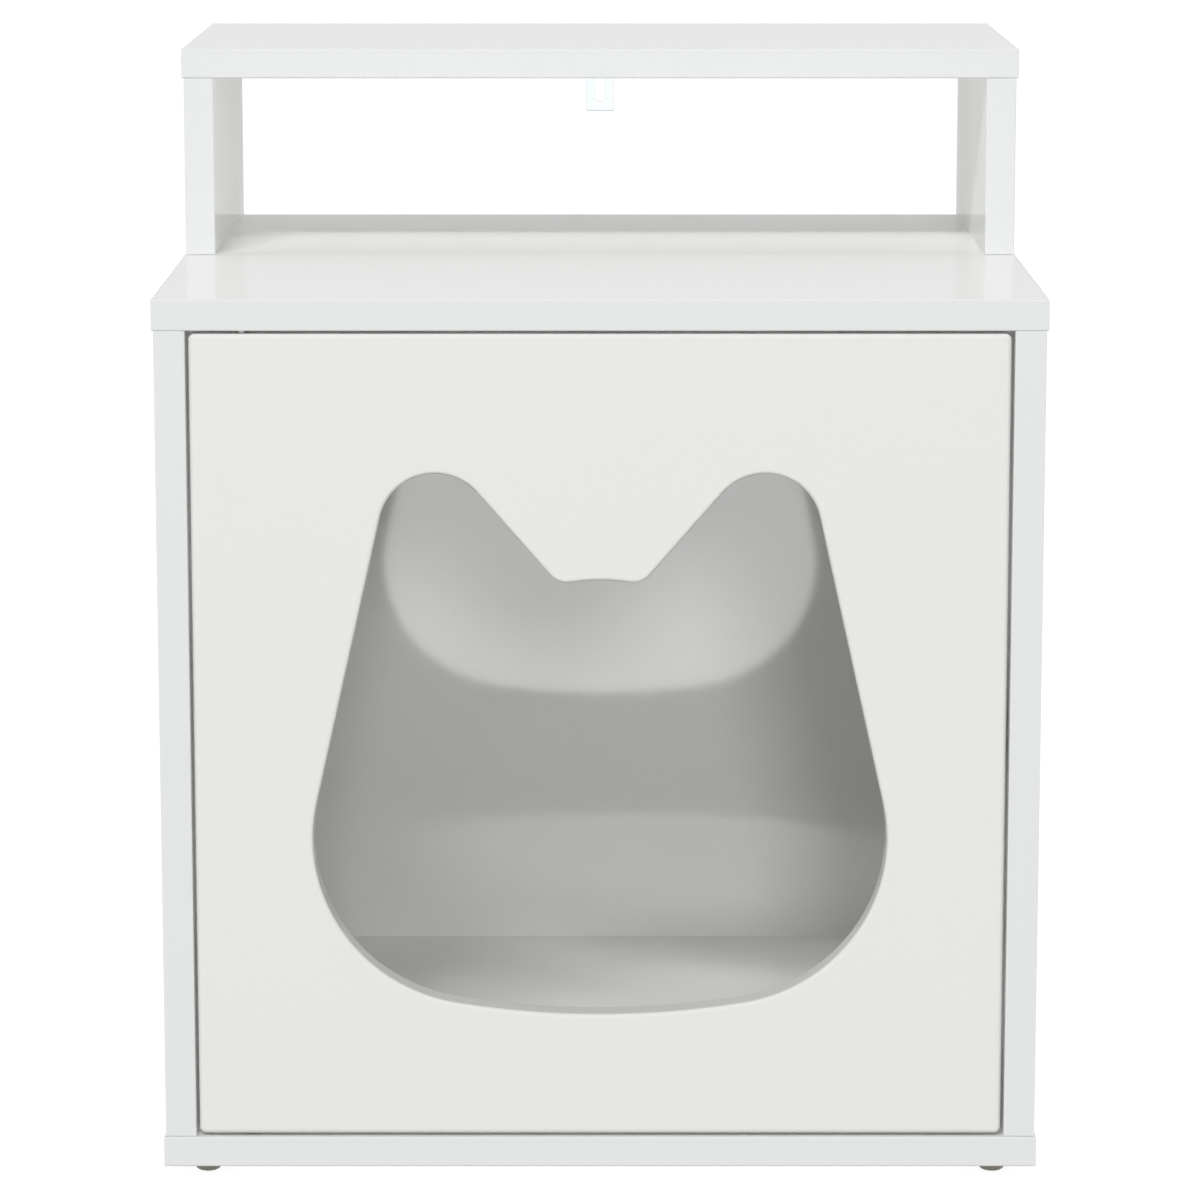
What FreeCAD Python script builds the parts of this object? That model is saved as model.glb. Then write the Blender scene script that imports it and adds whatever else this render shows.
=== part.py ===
import FreeCAD, Part
import math
import os

V = FreeCAD.Vector

# Cabinet, in millimetres: +X right, +Y to the rear, +Z up, origin on the floor under the middle
WIDTH = 425.0              # base, top and shelf boards, side to side
DEPTH = 400.0              # front of the door to the rear of the back panel
BOARD = 15.0               # thickness of the coated boards
SIDE_HEIGHT = 395.0        # side panels, between base and top board
SIDE_INSET = 1.0           # side panels and risers stand in from the ends of the boards
RISER_HEIGHT = 90.0        # clear height under the raised shelf
SHELF_DEPTH = 205.0        # raised shelf, front to rear
BACK_THICKNESS = 3.0       # back panel, nailed over the rear edges
BACK_MARGIN = 2.0          # back panel stands in from the ends of the boards
BAND = 1.0                 # edge band thickness
BAND_ROUND = 0.8           # rounded edge of the bands

# Feet
FOOT_HEIGHT = 7.0
FOOT_INSET = 20.0          # middle of a foot from the edges of the cabinet
FOOT_RADIUS = 8.0          # at the board
FOOT_WAIST_RADIUS = 6.5    # where the rounded end starts
FOOT_TIP_RADIUS = 4.0      # flat that stands on the floor
FOOT_ROUND_HEIGHT = 2.0    # height of the rounded end
FOOT_NAIL_LENGTH = 16.0
FOOT_NAIL_RADIUS = 1.1
FOOT_NAIL_HEAD_RADIUS = 2.2
FOOT_NAIL_HEAD = 1.0       # thickness of the nail head
FOOT_NAIL_SINK = 2.0       # nail head above the floor

# Door
DOOR_THICKNESS = 15.0
DOOR_GAP = 1.5             # slot all round the closed door
DOOR_CORNER = 3.0          # corners of the outline
DOOR_ROUND = 2.5           # round-over of the front edge
DOOR_BACK_ROUND = 1.0      # eased rear edges
OPENING_ROUND = 2.0        # round-over of the cat-head opening

# Cat-head opening, from the middle of the door
CHIN_RADIUS = 424.0
CHEEK_RADIUS = 82.0
CHEEK_X = 56.2
CHEEK_Z = -49.4
EAR_RADIUS = 26.8
EAR_X = 78.7
EAR_Z = 102.2
EAR_SLOPE = 49.0           # inner edge of an ear, degrees from level
CROWN_RADIUS = 85.0
CROWN_TOP = 77.6
NOTCH_RADIUS = 10.5        # between an ear and the crown

# Door pivots
PIVOT_INSET = 25.0         # pivot axis from the hinge edge of the door
PIN_RADIUS = 2.5
PIN_SEAT = 11.0            # pin length in the board
PIN_REACH = 12.0           # pin length that stands out of the board
PIN_CHAMFER = 0.6
BUSH_RADIUS = 4.0
BUSH_END = 3.4             # closed end beyond the pin
BUSH_RIM = 1.0             # flange beyond the bush, let in flush
BUSH_FLANGE = 1.5          # thickness of the flange

# Magnetic catch on the right side panel
CATCH_WIDTH = 17.0         # out from the panel
CATCH_LENGTH = 24.0        # front to rear
CATCH_HEIGHT = 32.0
CATCH_EAR = 9.0            # screw ear above and below the housing
CATCH_EAR_THICKNESS = 2.5
CATCH_ROUND = 1.5
MAGNET_CENTRE = 9.5        # middle of the magnet from the panel
MAGNET_THICKNESS = 6.0
MAGNET_HEIGHT = 20.0
MAGNET_LENGTH = 14.0
POLE_THICKNESS = 1.2
POLE_STAND = 1.0           # pole plates stand out of the housing
STRIKE_WIDTH = 12.0
STRIKE_HEIGHT = 30.0
STRIKE_THICKNESS = 1.2

# Joinery
EDGE_PITCH = 37.0          # first dowel from a panel edge
HOLE_PITCH = 32.0          # dowel to cam lock
RISER_SHIFT = 16.0         # riser fixings stand between the side panel fixings
DOWEL_RADIUS = 4.0
DOWEL_LENGTH = 30.0
DOWEL_IN_FACE = 10.0       # part of a dowel in the face of a board
DOWEL_CHAMFER = 1.0
CAM_RADIUS = 7.5
CAM_SKIN = 2.0             # board left behind the hole of a cam lock
CAM_SETBACK = 34.0         # cam lock from the end of a side panel
CAM_SLOT_WIDTH = 1.4
CAM_SLOT_DEPTH = 1.5
BOLT_SEAT = 11.0           # cam bolt thread in the face of a board
BOLT_RADIUS = 3.0
BOLT_NECK_RADIUS = 2.0
BOLT_HEAD_RADIUS = 3.4
BOLT_HEAD = 3.0            # length of the head
BOLT_NECK = 5.0            # length of the neck
COVER_LIP = 1.3            # cover cap beyond the cam lock
COVER_THICKNESS = 1.0

# Screws and nails
SCREW_RADIUS = 1.75
SCREW_LENGTH = 12.0
SCREW_HEAD_RADIUS = 3.4
SCREW_HEAD = 2.2
DRIVE_ARM = 1.9            # cross recess, middle to the end of an arm
DRIVE_WIDTH = 1.0
DRIVE_DEPTH = 1.3
RISER_SCREW_LENGTH = 50.0
RISER_SCREW_RADIUS = 2.0
RISER_SCREW_HEAD_RADIUS = 4.0
NAIL_LENGTH = 18.0
NAIL_RADIUS = 0.7
NAIL_HEAD_RADIUS = 1.8
NAIL_HEAD = 0.8
NAILS_PER_EDGE = 4
NAIL_MARGIN = 60.0         # first nail from the ends of an edge

# Wall bracket
BRACKET_WIDTH = 15.5
BRACKET_THICKNESS = 2.0
BRACKET_DROP = 33.0        # tab below the shelf
BRACKET_LEG = 30.0         # leg under the shelf
BRACKET_BEND = 2.0
BRACKET_CORNER = 1.0
BRACKET_EDGE = 0.5         # rounded edges of the tab and its slot
SLOT_WIDTH = 5.3
SLOT_LENGTH = 18.0
SLOT_LIFT = 5.2            # lower end of the slot above the end of the tab

# Clearances
FIT = 0.1                  # seated pieces
RUN_FIT = 0.05             # pivot pin in its bush
RUN_GAP = 0.1              # end of a pivot pin from the end of its bush
CATCH_GAP = 0.3            # pole plates from the strike plate
HOLE_END = 1.0             # hole beyond the end of what it holds
CAM_ROOM = 0.4             # round the bolt head in a cam lock

# Planes that the pieces share
FRONT = -DEPTH / 2
REAR = DEPTH / 2
BOARD_REAR = REAR - BACK_THICKNESS
END = WIDTH / 2
SIDE_OUT = END - SIDE_INSET
SIDE_IN = SIDE_OUT - BOARD
SIDE_MIDDLE = SIDE_OUT - BOARD / 2
BASE_Z = FOOT_HEIGHT
SIDE_Z = BASE_Z + BOARD
TOP_Z = SIDE_Z + SIDE_HEIGHT
RISER_Z = TOP_Z + BOARD
SHELF_Z = RISER_Z + RISER_HEIGHT
SHELF_FRONT = BOARD_REAR - SHELF_DEPTH
DOOR_EDGE = SIDE_IN - DOOR_GAP
DOOR_Z = SIDE_Z + DOOR_GAP
DOOR_TOP = TOP_Z - DOOR_GAP
DOOR_MIDDLE = (DOOR_Z + DOOR_TOP) / 2
DOOR_REAR = FRONT + DOOR_THICKNESS
PIVOT_X = PIVOT_INSET - DOOR_EDGE
PIVOT_Y = FRONT + DOOR_THICKNESS / 2
BUSH_DEPTH = PIN_REACH - DOOR_GAP + RUN_GAP
BUSH_LENGTH = BUSH_DEPTH + BUSH_END
CATCH_Z = SIDE_Z + SIDE_HEIGHT / 2
STRIKE_X = SIDE_IN - MAGNET_CENTRE
POLE_FRONT = DOOR_REAR + STRIKE_THICKNESS + CATCH_GAP
CATCH_FRONT = POLE_FRONT + POLE_STAND

CAM_HOLE = BOARD - CAM_SKIN
CAM_HEIGHT = CAM_HOLE - HOLE_END

UP = V(0, 0, 1)
DOWN = V(0, 0, -1)
TO_REAR = V(0, 1, 0)
TO_RIGHT = V(1, 0, 0)

# Places along the depth
SIDE_DOWELS = (FRONT + EDGE_PITCH, BOARD_REAR - EDGE_PITCH)
SIDE_CAMS = (FRONT + EDGE_PITCH + HOLE_PITCH, BOARD_REAR - EDGE_PITCH - HOLE_PITCH)
SHELF_DOWELS = (SHELF_FRONT + EDGE_PITCH, (SHELF_FRONT + BOARD_REAR) / 2, BOARD_REAR - EDGE_PITCH)
RISER_DOWELS = (SHELF_DOWELS[0] - RISER_SHIFT, SHELF_DOWELS[-1] + RISER_SHIFT)
RISER_SCREWS = (RISER_DOWELS[0] + HOLE_PITCH, RISER_DOWELS[1] - HOLE_PITCH)


def box(x0, x1, y0, y1, z0, z1):
    return Part.makeBox(x1 - x0, y1 - y0, z1 - z0, V(x0, y0, z0))


def rod(radius, start, direction, length):
    return Part.makeCylinder(radius, length, start, direction)


def revolved(points):
    """Solid of revolution about Z from (radius, height) points."""
    outline = [V(r, 0, z) for r, z in points]
    face = Part.Face(Part.makePolygon(outline + outline[:1]))
    return face.revolve(V(0, 0, 0), UP, 360)


def placed(shape, position, direction):
    """Copy of a shape drawn along +Z, moved to a position and turned to a direction."""
    copy = shape.copy()
    copy.Placement = FreeCAD.Placement(position, FreeCAD.Rotation(UP, direction))
    return copy


def rounded(shape, radius, test):
    """Fillet the edges whose bounding box passes the test."""
    edges = [edge for edge in shape.Edges if test(edge.BoundBox)]
    return shape.makeFillet(radius, edges)


def at(low, high, place):
    return abs(low - place) < 0.001 and abs(high - place) < 0.001


def save(name, pieces):
    shape = pieces[0] if len(pieces) == 1 else Part.makeCompound(pieces)
    shape.exportStep("parts/" + name + ".step")


# Edge bands

def band_along_x(x0, x1, outer, inward, z0, z1):
    """Band on a front or rear edge; inward is +1 or -1 along Y."""
    inner = outer + inward * BAND
    strip = box(x0, x1, min(outer, inner), max(outer, inner), z0, z1)
    return rounded(strip, BAND_ROUND, lambda b: at(b.YMin, b.YMax, outer))


def band_along_y(outer, inward, y0, y1, z0, z1):
    """Band on a left or right edge; its ends meet other pieces and stay square."""
    inner = outer + inward * BAND
    strip = box(min(outer, inner), max(outer, inner), y0, y1, z0, z1)
    return rounded(strip, BAND_ROUND, lambda b: at(b.XMin, b.XMax, outer) and b.YLength > BAND)


def board_bands(front, rear, z0, rear_band):
    """Bands round a level board."""
    z1 = z0 + BOARD
    bands = [band_along_x(-END, END, front, 1, z0, z1)]
    side_rear = rear
    if rear_band:
        bands.append(band_along_x(-END, END, rear, -1, z0, z1))
        side_rear = rear - BAND
    for side in (-1, 1):
        bands.append(band_along_y(side * END, -side, front + BAND, side_rear, z0, z1))
    return bands


# Fasteners, drawn along +Z from the face that they stand on

def dowel():
    end = DOWEL_RADIUS - DOWEL_CHAMFER
    return revolved([(0, 0), (end, 0), (DOWEL_RADIUS, DOWEL_CHAMFER),
                     (DOWEL_RADIUS, DOWEL_LENGTH - DOWEL_CHAMFER), (end, DOWEL_LENGTH), (0, DOWEL_LENGTH)])


def cam_bolt():
    """Bolt whose head lies at the middle of its cam lock."""
    head_end = BOLT_SEAT + CAM_SETBACK + BOLT_HEAD / 2
    head_start = head_end - BOLT_HEAD
    neck_start = head_start - BOLT_NECK
    return revolved([(0, 0), (BOLT_RADIUS, 0), (BOLT_RADIUS, neck_start), (BOLT_NECK_RADIUS, neck_start),
                     (BOLT_NECK_RADIUS, head_start), (BOLT_HEAD_RADIUS, head_start),
                     (BOLT_HEAD_RADIUS, head_end), (0, head_end)])


def cam_lock():
    """Cam with its bolt mouth towards +X and its driver slots on the upper face."""
    body = Part.makeCylinder(CAM_RADIUS, CAM_HEIGHT)
    room = BOLT_HEAD_RADIUS + CAM_ROOM
    bolt_level = CAM_HEIGHT - BOARD / 2
    mouth = box(-BOLT_HEAD / 2 - CAM_ROOM, CAM_RADIUS, -room, room, -CAM_HEIGHT, bolt_level + room)
    arm = CAM_RADIUS - CAM_SLOT_WIDTH
    half = CAM_SLOT_WIDTH / 2
    floor = CAM_HEIGHT - CAM_SLOT_DEPTH
    slots = [box(-arm, arm, -half, half, floor, CAM_HEIGHT), box(-half, half, -arm, arm, floor, CAM_HEIGHT)]
    return body.cut([mouth] + slots)


def cam_cover():
    disc = Part.makeCylinder(CAM_RADIUS + COVER_LIP, COVER_THICKNESS)
    return rounded(disc, COVER_THICKNESS / 2, lambda b: at(b.ZMin, b.ZMax, COVER_THICKNESS))


def drive_recess(top):
    """Cross recess for a driver in a screw head that ends at a height."""
    half = DRIVE_WIDTH / 2
    floor = top - DRIVE_DEPTH
    return [box(-DRIVE_ARM, DRIVE_ARM, -half, half, floor, top),
            box(-half, half, -DRIVE_ARM, DRIVE_ARM, floor, top)]


def pan_screw():
    """Screw with its head above Z = 0 and its shank below."""
    rim = SCREW_HEAD_RADIUS - SCREW_HEAD / 2
    blank = revolved([(0, -SCREW_LENGTH), (SCREW_RADIUS, -SCREW_LENGTH + SCREW_RADIUS), (SCREW_RADIUS, 0),
                      (SCREW_HEAD_RADIUS, 0), (SCREW_HEAD_RADIUS, SCREW_HEAD / 2), (rim, SCREW_HEAD),
                      (0, SCREW_HEAD)])
    return blank.cut(drive_recess(SCREW_HEAD))


def flat_blank(length, radius, head_radius):
    """Countersunk form with its head flush at Z = 0 and its shank below."""
    neck = radius - head_radius
    return revolved([(0, -length), (radius, -length + radius), (radius, neck), (head_radius, 0), (0, 0)])


def flat_screw(length, radius, head_radius):
    return flat_blank(length, radius, head_radius).cut(drive_recess(0))


def flat_screw_hole(length, radius, head_radius):
    return flat_blank(length + HOLE_END, radius + FIT, head_radius + FIT)


def nail():
    """Nail with its head flush at Z = 0 and its shank below."""
    return revolved([(0, -NAIL_LENGTH), (NAIL_RADIUS, -NAIL_LENGTH + NAIL_RADIUS), (NAIL_RADIUS, -NAIL_HEAD),
                     (NAIL_HEAD_RADIUS, -NAIL_HEAD), (NAIL_HEAD_RADIUS, 0), (0, 0)])


def nail_hole():
    radius = NAIL_RADIUS + FIT
    head = NAIL_HEAD_RADIUS + FIT
    return revolved([(0, -NAIL_LENGTH - HOLE_END), (radius, -NAIL_LENGTH - HOLE_END), (radius, -NAIL_HEAD),
                     (head, -NAIL_HEAD), (head, 0), (0, 0)])


def dowel_holes(x, places, z, towards_panel):
    """Holes for dowels across a joint at height z: (in the board, in the panel end)."""
    radius = DOWEL_RADIUS + FIT
    in_board = DOWEL_IN_FACE + HOLE_END
    in_panel = DOWEL_LENGTH - DOWEL_IN_FACE + HOLE_END
    board = [rod(radius, V(x, y, z), towards_panel * -1, in_board) for y in places]
    panel = [rod(radius, V(x, y, z), towards_panel, in_panel) for y in places]
    return board, panel


def joint_dowels(x, places, z, towards_panel):
    return [placed(dowel(), V(x, y, z) - towards_panel * DOWEL_IN_FACE, towards_panel) for y in places]


def cam_holes(side, z, towards_panel):
    """Holes of a cam joint at height z: (in the board, in the panel)."""
    x = side * SIDE_MIDDLE
    into_panel = TO_RIGHT * side
    board = [rod(BOLT_RADIUS + FIT, V(x, y, z), towards_panel * -1, BOLT_SEAT + HOLE_END) for y in SIDE_CAMS]
    panel = []
    for y in SIDE_CAMS:
        centre = V(side * SIDE_IN, y, z) + towards_panel * CAM_SETBACK
        panel.append(rod(CAM_RADIUS + FIT, centre, into_panel, CAM_HOLE))
        panel.append(rod(BOLT_HEAD_RADIUS + CAM_ROOM, V(x, y, z), towards_panel, CAM_SETBACK))
    return board, panel


def cam_pieces(side, z, towards_panel):
    """Cam locks, bolts and cover caps of a cam joint at height z."""
    x = side * SIDE_MIDDLE
    into_panel = TO_RIGHT * side
    locks = []
    bolts = []
    covers = []
    for y in SIDE_CAMS:
        face = V(side * SIDE_IN, y, z) + towards_panel * CAM_SETBACK
        turn = FreeCAD.Rotation(towards_panel * -1, TO_REAR, into_panel * -1, "ZXY")
        lock = cam_lock()
        lock.Placement = FreeCAD.Placement(face + into_panel * CAM_HEIGHT, turn)
        locks.append(lock)
        bolts.append(placed(cam_bolt(), V(x, y, z) - towards_panel * BOLT_SEAT, towards_panel))
        covers.append(placed(cam_cover(), face, into_panel * -1))
    return locks, bolts, covers


# Where the nails of the back panel go

def spread(low, high):
    step = (high - low - 2 * NAIL_MARGIN) / (NAILS_PER_EDGE - 1)
    return [low + NAIL_MARGIN + step * i for i in range(NAILS_PER_EDGE)]


def nail_places(kind):
    if kind == "base":
        return [V(x, REAR, BASE_Z + BOARD / 2) for x in spread(-SIDE_OUT, SIDE_OUT)]
    if kind == "top":
        return [V(x, REAR, TOP_Z + BOARD / 2) for x in spread(-SIDE_OUT, SIDE_OUT)]
    side = -1 if kind == "left" else 1
    return [V(side * SIDE_MIDDLE, REAR, z) for z in spread(SIDE_Z, TOP_Z)]


def nail_holes(kind):
    return [placed(nail_hole(), place, TO_REAR) for place in nail_places(kind)]


def foot_places():
    x = END - FOOT_INSET
    return {"front_left": V(-x, FRONT + FOOT_INSET, 0), "front_right": V(x, FRONT + FOOT_INSET, 0),
            "rear_left": V(-x, REAR - FOOT_INSET, 0), "rear_right": V(x, REAR - FOOT_INSET, 0)}


# Cabinet boards

def base_board():
    board = box(-END + BAND, END - BAND, FRONT + BAND, BOARD_REAR, BASE_Z, SIDE_Z)
    holes = nail_holes("base")
    for side in (-1, 1):
        holes += dowel_holes(side * SIDE_MIDDLE, SIDE_DOWELS, SIDE_Z, UP)[0]
        holes += cam_holes(side, SIDE_Z, UP)[0]
    for place in foot_places().values():
        depth = FOOT_NAIL_SINK + FOOT_NAIL_LENGTH - FOOT_HEIGHT + HOLE_END
        holes.append(rod(FOOT_NAIL_RADIUS + FIT, place + UP * FOOT_HEIGHT, UP, depth))
    holes.append(rod(PIN_RADIUS + FIT, V(PIVOT_X, PIVOT_Y, SIDE_Z), DOWN, PIN_SEAT + HOLE_END))
    return board.cut(holes)


def top_board():
    board = box(-END + BAND, END - BAND, FRONT + BAND, BOARD_REAR, TOP_Z, RISER_Z)
    holes = nail_holes("top")
    for side in (-1, 1):
        x = side * SIDE_MIDDLE
        holes += dowel_holes(x, SIDE_DOWELS, TOP_Z, DOWN)[0]
        holes += cam_holes(side, TOP_Z, DOWN)[0]
        holes += dowel_holes(x, RISER_DOWELS, RISER_Z, UP)[0]
        holes += riser_screw_holes(x)
    holes.append(rod(PIN_RADIUS + FIT, V(PIVOT_X, PIVOT_Y, TOP_Z), UP, PIN_SEAT + HOLE_END))
    return board.cut(holes)


def side_panel(side):
    near, far = sorted((side * SIDE_IN, side * SIDE_OUT))
    panel = box(near, far, FRONT + BAND, BOARD_REAR, SIDE_Z, TOP_Z)
    holes = nail_holes("left" if side < 0 else "right")
    for z, towards_panel in ((SIDE_Z, UP), (TOP_Z, DOWN)):
        holes += dowel_holes(side * SIDE_MIDDLE, SIDE_DOWELS, z, towards_panel)[1]
        holes += cam_holes(side, z, towards_panel)[1]
    if side > 0:
        for place in catch_screw_places():
            start = V(SIDE_IN, place.y, place.z)
            depth = SCREW_LENGTH - CATCH_EAR_THICKNESS + HOLE_END
            holes.append(rod(SCREW_RADIUS + FIT, start, TO_RIGHT, depth))
    return panel.cut(holes)


def side_band(side):
    near, far = sorted((side * SIDE_IN, side * SIDE_OUT))
    return band_along_x(near, far, FRONT, 1, SIDE_Z, TOP_Z)


def riser_screw_holes(x):
    hole = flat_screw_hole(RISER_SCREW_LENGTH, RISER_SCREW_RADIUS, RISER_SCREW_HEAD_RADIUS)
    return [placed(hole, V(x, y, TOP_Z), DOWN) for y in RISER_SCREWS]


def riser_panel(side):
    near, far = sorted((side * SIDE_IN, side * SIDE_OUT))
    panel = box(near, far, SHELF_FRONT + BAND, BOARD_REAR - BAND, RISER_Z, SHELF_Z)
    x = side * SIDE_MIDDLE
    holes = riser_screw_holes(x)
    holes += dowel_holes(x, RISER_DOWELS, RISER_Z, UP)[1]
    holes += dowel_holes(x, SHELF_DOWELS, SHELF_Z, DOWN)[1]
    return panel.cut(holes)


def riser_bands(side):
    near, far = sorted((side * SIDE_IN, side * SIDE_OUT))
    return [band_along_x(near, far, SHELF_FRONT, 1, RISER_Z, SHELF_Z),
            band_along_x(near, far, BOARD_REAR, -1, RISER_Z, SHELF_Z)]


def shelf_board():
    board = box(-END + BAND, END - BAND, SHELF_FRONT + BAND, BOARD_REAR - BAND, SHELF_Z, SHELF_Z + BOARD)
    holes = []
    for side in (-1, 1):
        holes += dowel_holes(side * SIDE_MIDDLE, SHELF_DOWELS, SHELF_Z, DOWN)[0]
    screw = bracket_screw_place()
    depth = SCREW_LENGTH - BRACKET_THICKNESS + HOLE_END
    holes.append(rod(SCREW_RADIUS + FIT, V(screw.x, screw.y, SHELF_Z), UP, depth))
    return board.cut(holes)


def back_panel():
    panel = box(-END + BACK_MARGIN, END - BACK_MARGIN, BOARD_REAR, REAR,
                BASE_Z + BACK_MARGIN, RISER_Z - BACK_MARGIN)
    holes = []
    for kind in ("base", "top", "left", "right"):
        holes += nail_holes(kind)
    return panel.cut(holes)


# Feet

def foot():
    """Nail-on foot with a rounded end and a sunk nail hole."""
    bore = FOOT_NAIL_RADIUS + FIT
    sink = FOOT_NAIL_HEAD_RADIUS + FIT
    sink_top = FOOT_NAIL_SINK + FOOT_NAIL_HEAD
    flat_end = V(FOOT_TIP_RADIUS, 0, 0)
    round_end = V(FOOT_WAIST_RADIUS, 0, FOOT_ROUND_HEIGHT)
    middle = (flat_end + round_end) / 2
    bulge = (round_end - flat_end).cross(TO_REAR).normalize() * (FOOT_ROUND_HEIGHT / 5)
    corners = [round_end, V(FOOT_RADIUS, 0, FOOT_HEIGHT), V(bore, 0, FOOT_HEIGHT), V(bore, 0, sink_top),
               V(sink, 0, sink_top), V(sink, 0, 0), flat_end]
    edges = [Part.Arc(flat_end, middle - bulge, round_end).toShape()]
    edges += [Part.makeLine(a, b) for a, b in zip(corners, corners[1:])]
    return Part.Face(Part.Wire(edges)).revolve(V(0, 0, 0), UP, 360)


def foot_nail():
    head_top = FOOT_NAIL_SINK + FOOT_NAIL_HEAD
    tip = FOOT_NAIL_SINK + FOOT_NAIL_LENGTH
    return revolved([(0, FOOT_NAIL_SINK), (FOOT_NAIL_HEAD_RADIUS, FOOT_NAIL_SINK),
                     (FOOT_NAIL_HEAD_RADIUS, head_top), (FOOT_NAIL_RADIUS, head_top),
                     (FOOT_NAIL_RADIUS, tip - FOOT_NAIL_RADIUS), (0, tip)])


# Wall bracket

def bracket_screw_place():
    return V(0, REAR - BRACKET_THICKNESS - BRACKET_LEG / 2, SHELF_Z - BRACKET_THICKNESS)


def wall_bracket():
    """Clear L-shaped bracket: leg under the shelf, slotted tab against the wall."""
    half = BRACKET_WIDTH / 2
    tab_end = SHELF_Z - BRACKET_DROP
    inner_y = REAR - BRACKET_THICKNESS
    inner_z = SHELF_Z - BRACKET_THICKNESS
    leg = box(-half, half, REAR - BRACKET_LEG, REAR, inner_z, SHELF_Z)
    tab = box(-half, half, inner_y, REAR, tab_end, SHELF_Z)
    angle = leg.fuse(tab).removeSplitter()

    def in_bend(b):
        return at(b.YMin, b.YMax, inner_y) and at(b.ZMin, b.ZMax, inner_z)

    def at_corner(b):
        on_side = at(b.XMin, b.XMax, -half) or at(b.XMin, b.XMax, half)
        return on_side and (at(b.ZMin, b.ZMax, tab_end) or at(b.YMin, b.YMax, REAR - BRACKET_LEG))

    angle = rounded(angle, BRACKET_BEND, in_bend)
    angle = rounded(angle, BRACKET_CORNER, at_corner)
    slot_low = tab_end + SLOT_LIFT + SLOT_WIDTH / 2
    slot_high = tab_end + SLOT_LIFT + SLOT_LENGTH - SLOT_WIDTH / 2
    cuts = [box(-SLOT_WIDTH / 2, SLOT_WIDTH / 2, inner_y, REAR, slot_low, slot_high)]
    for z in (slot_low, slot_high):
        cuts.append(rod(SLOT_WIDTH / 2, V(0, inner_y, z), TO_REAR, BRACKET_THICKNESS))
    cuts.append(rod(SCREW_RADIUS + FIT, bracket_screw_place(), UP, BRACKET_THICKNESS))
    angle = angle.cut(cuts)

    def on_tab(b):
        on_face = at(b.YMin, b.YMax, inner_y) or at(b.YMin, b.YMax, REAR)
        return on_face and b.ZMin < inner_z - BRACKET_BEND - BRACKET_EDGE

    return rounded(angle, BRACKET_EDGE, on_tab)


# Door

def arc(centre, start, end):
    """Arc under a half circle round a centre."""
    middle = (start - centre) + (end - centre)
    middle = middle.normalize() * (start - centre).Length
    return Part.Arc(start, centre + middle, end).toShape()


def opening_half(side):
    """Cheek, ear and notch of the opening on one side, from the chin to the crown."""
    def point(x, z):
        return V(side * x, FRONT, DOOR_MIDDLE + z)

    def turned(centre, radius, angle):
        x, z = centre
        return point(x + radius * math.cos(angle), z + radius * math.sin(angle))

    cheek = (CHEEK_X, CHEEK_Z)
    ear = (EAR_X, EAR_Z)
    chin = (0.0, CHEEK_Z + math.sqrt((CHIN_RADIUS - CHEEK_RADIUS) ** 2 - CHEEK_X ** 2))
    crown = (0.0, CROWN_TOP - CROWN_RADIUS)

    chin_angle = math.atan2(CHEEK_Z - chin[1], CHEEK_X)
    reach = math.hypot(EAR_X - CHEEK_X, EAR_Z - CHEEK_Z)
    lean = math.asin((CHEEK_RADIUS - EAR_RADIUS) / reach) - math.atan2(EAR_X - CHEEK_X, EAR_Z - CHEEK_Z)
    slope = math.radians(EAR_SLOPE)
    ear_angle = math.pi / 2 + slope

    # The notch's centre lies a notch radius beyond the ear's inner edge and beyond the crown
    offset = EAR_RADIUS + NOTCH_RADIUS
    line_x = EAR_X + offset * math.cos(ear_angle)
    line_z = EAR_Z + offset * math.sin(ear_angle) - crown[1]
    along = line_x * math.cos(slope) + line_z * math.sin(slope)
    excess = line_x ** 2 + line_z ** 2 - (CROWN_RADIUS + NOTCH_RADIUS) ** 2
    travel = along - math.sqrt(along ** 2 - excess)
    notch = (line_x - travel * math.cos(slope), line_z + crown[1] - travel * math.sin(slope))
    crown_angle = math.atan2(notch[1] - crown[1], notch[0])

    cheek_start = turned(cheek, CHEEK_RADIUS, chin_angle)
    cheek_end = turned(cheek, CHEEK_RADIUS, lean)
    ear_start = turned(ear, EAR_RADIUS, lean)
    ear_end = turned(ear, EAR_RADIUS, ear_angle)
    notch_start = turned(notch, NOTCH_RADIUS, ear_angle - math.pi)
    notch_end = turned(crown, CROWN_RADIUS, crown_angle)
    edges = [arc(point(*cheek), cheek_start, cheek_end),
             Part.makeLine(cheek_end, ear_start),
             arc(point(*ear), ear_start, ear_end),
             Part.makeLine(ear_end, notch_start),
             arc(point(*notch), notch_start, notch_end)]
    return edges, cheek_start, notch_end, point(*chin), point(*crown)


def opening_wire():
    right, chin_right, crown_right, chin, crown = opening_half(1)
    left, chin_left, crown_left, chin, crown = opening_half(-1)
    edges = right + [arc(crown, crown_right, crown_left)] + left + [arc(chin, chin_left, chin_right)]
    return Part.Wire(Part.sortEdges(edges)[0])


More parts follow.
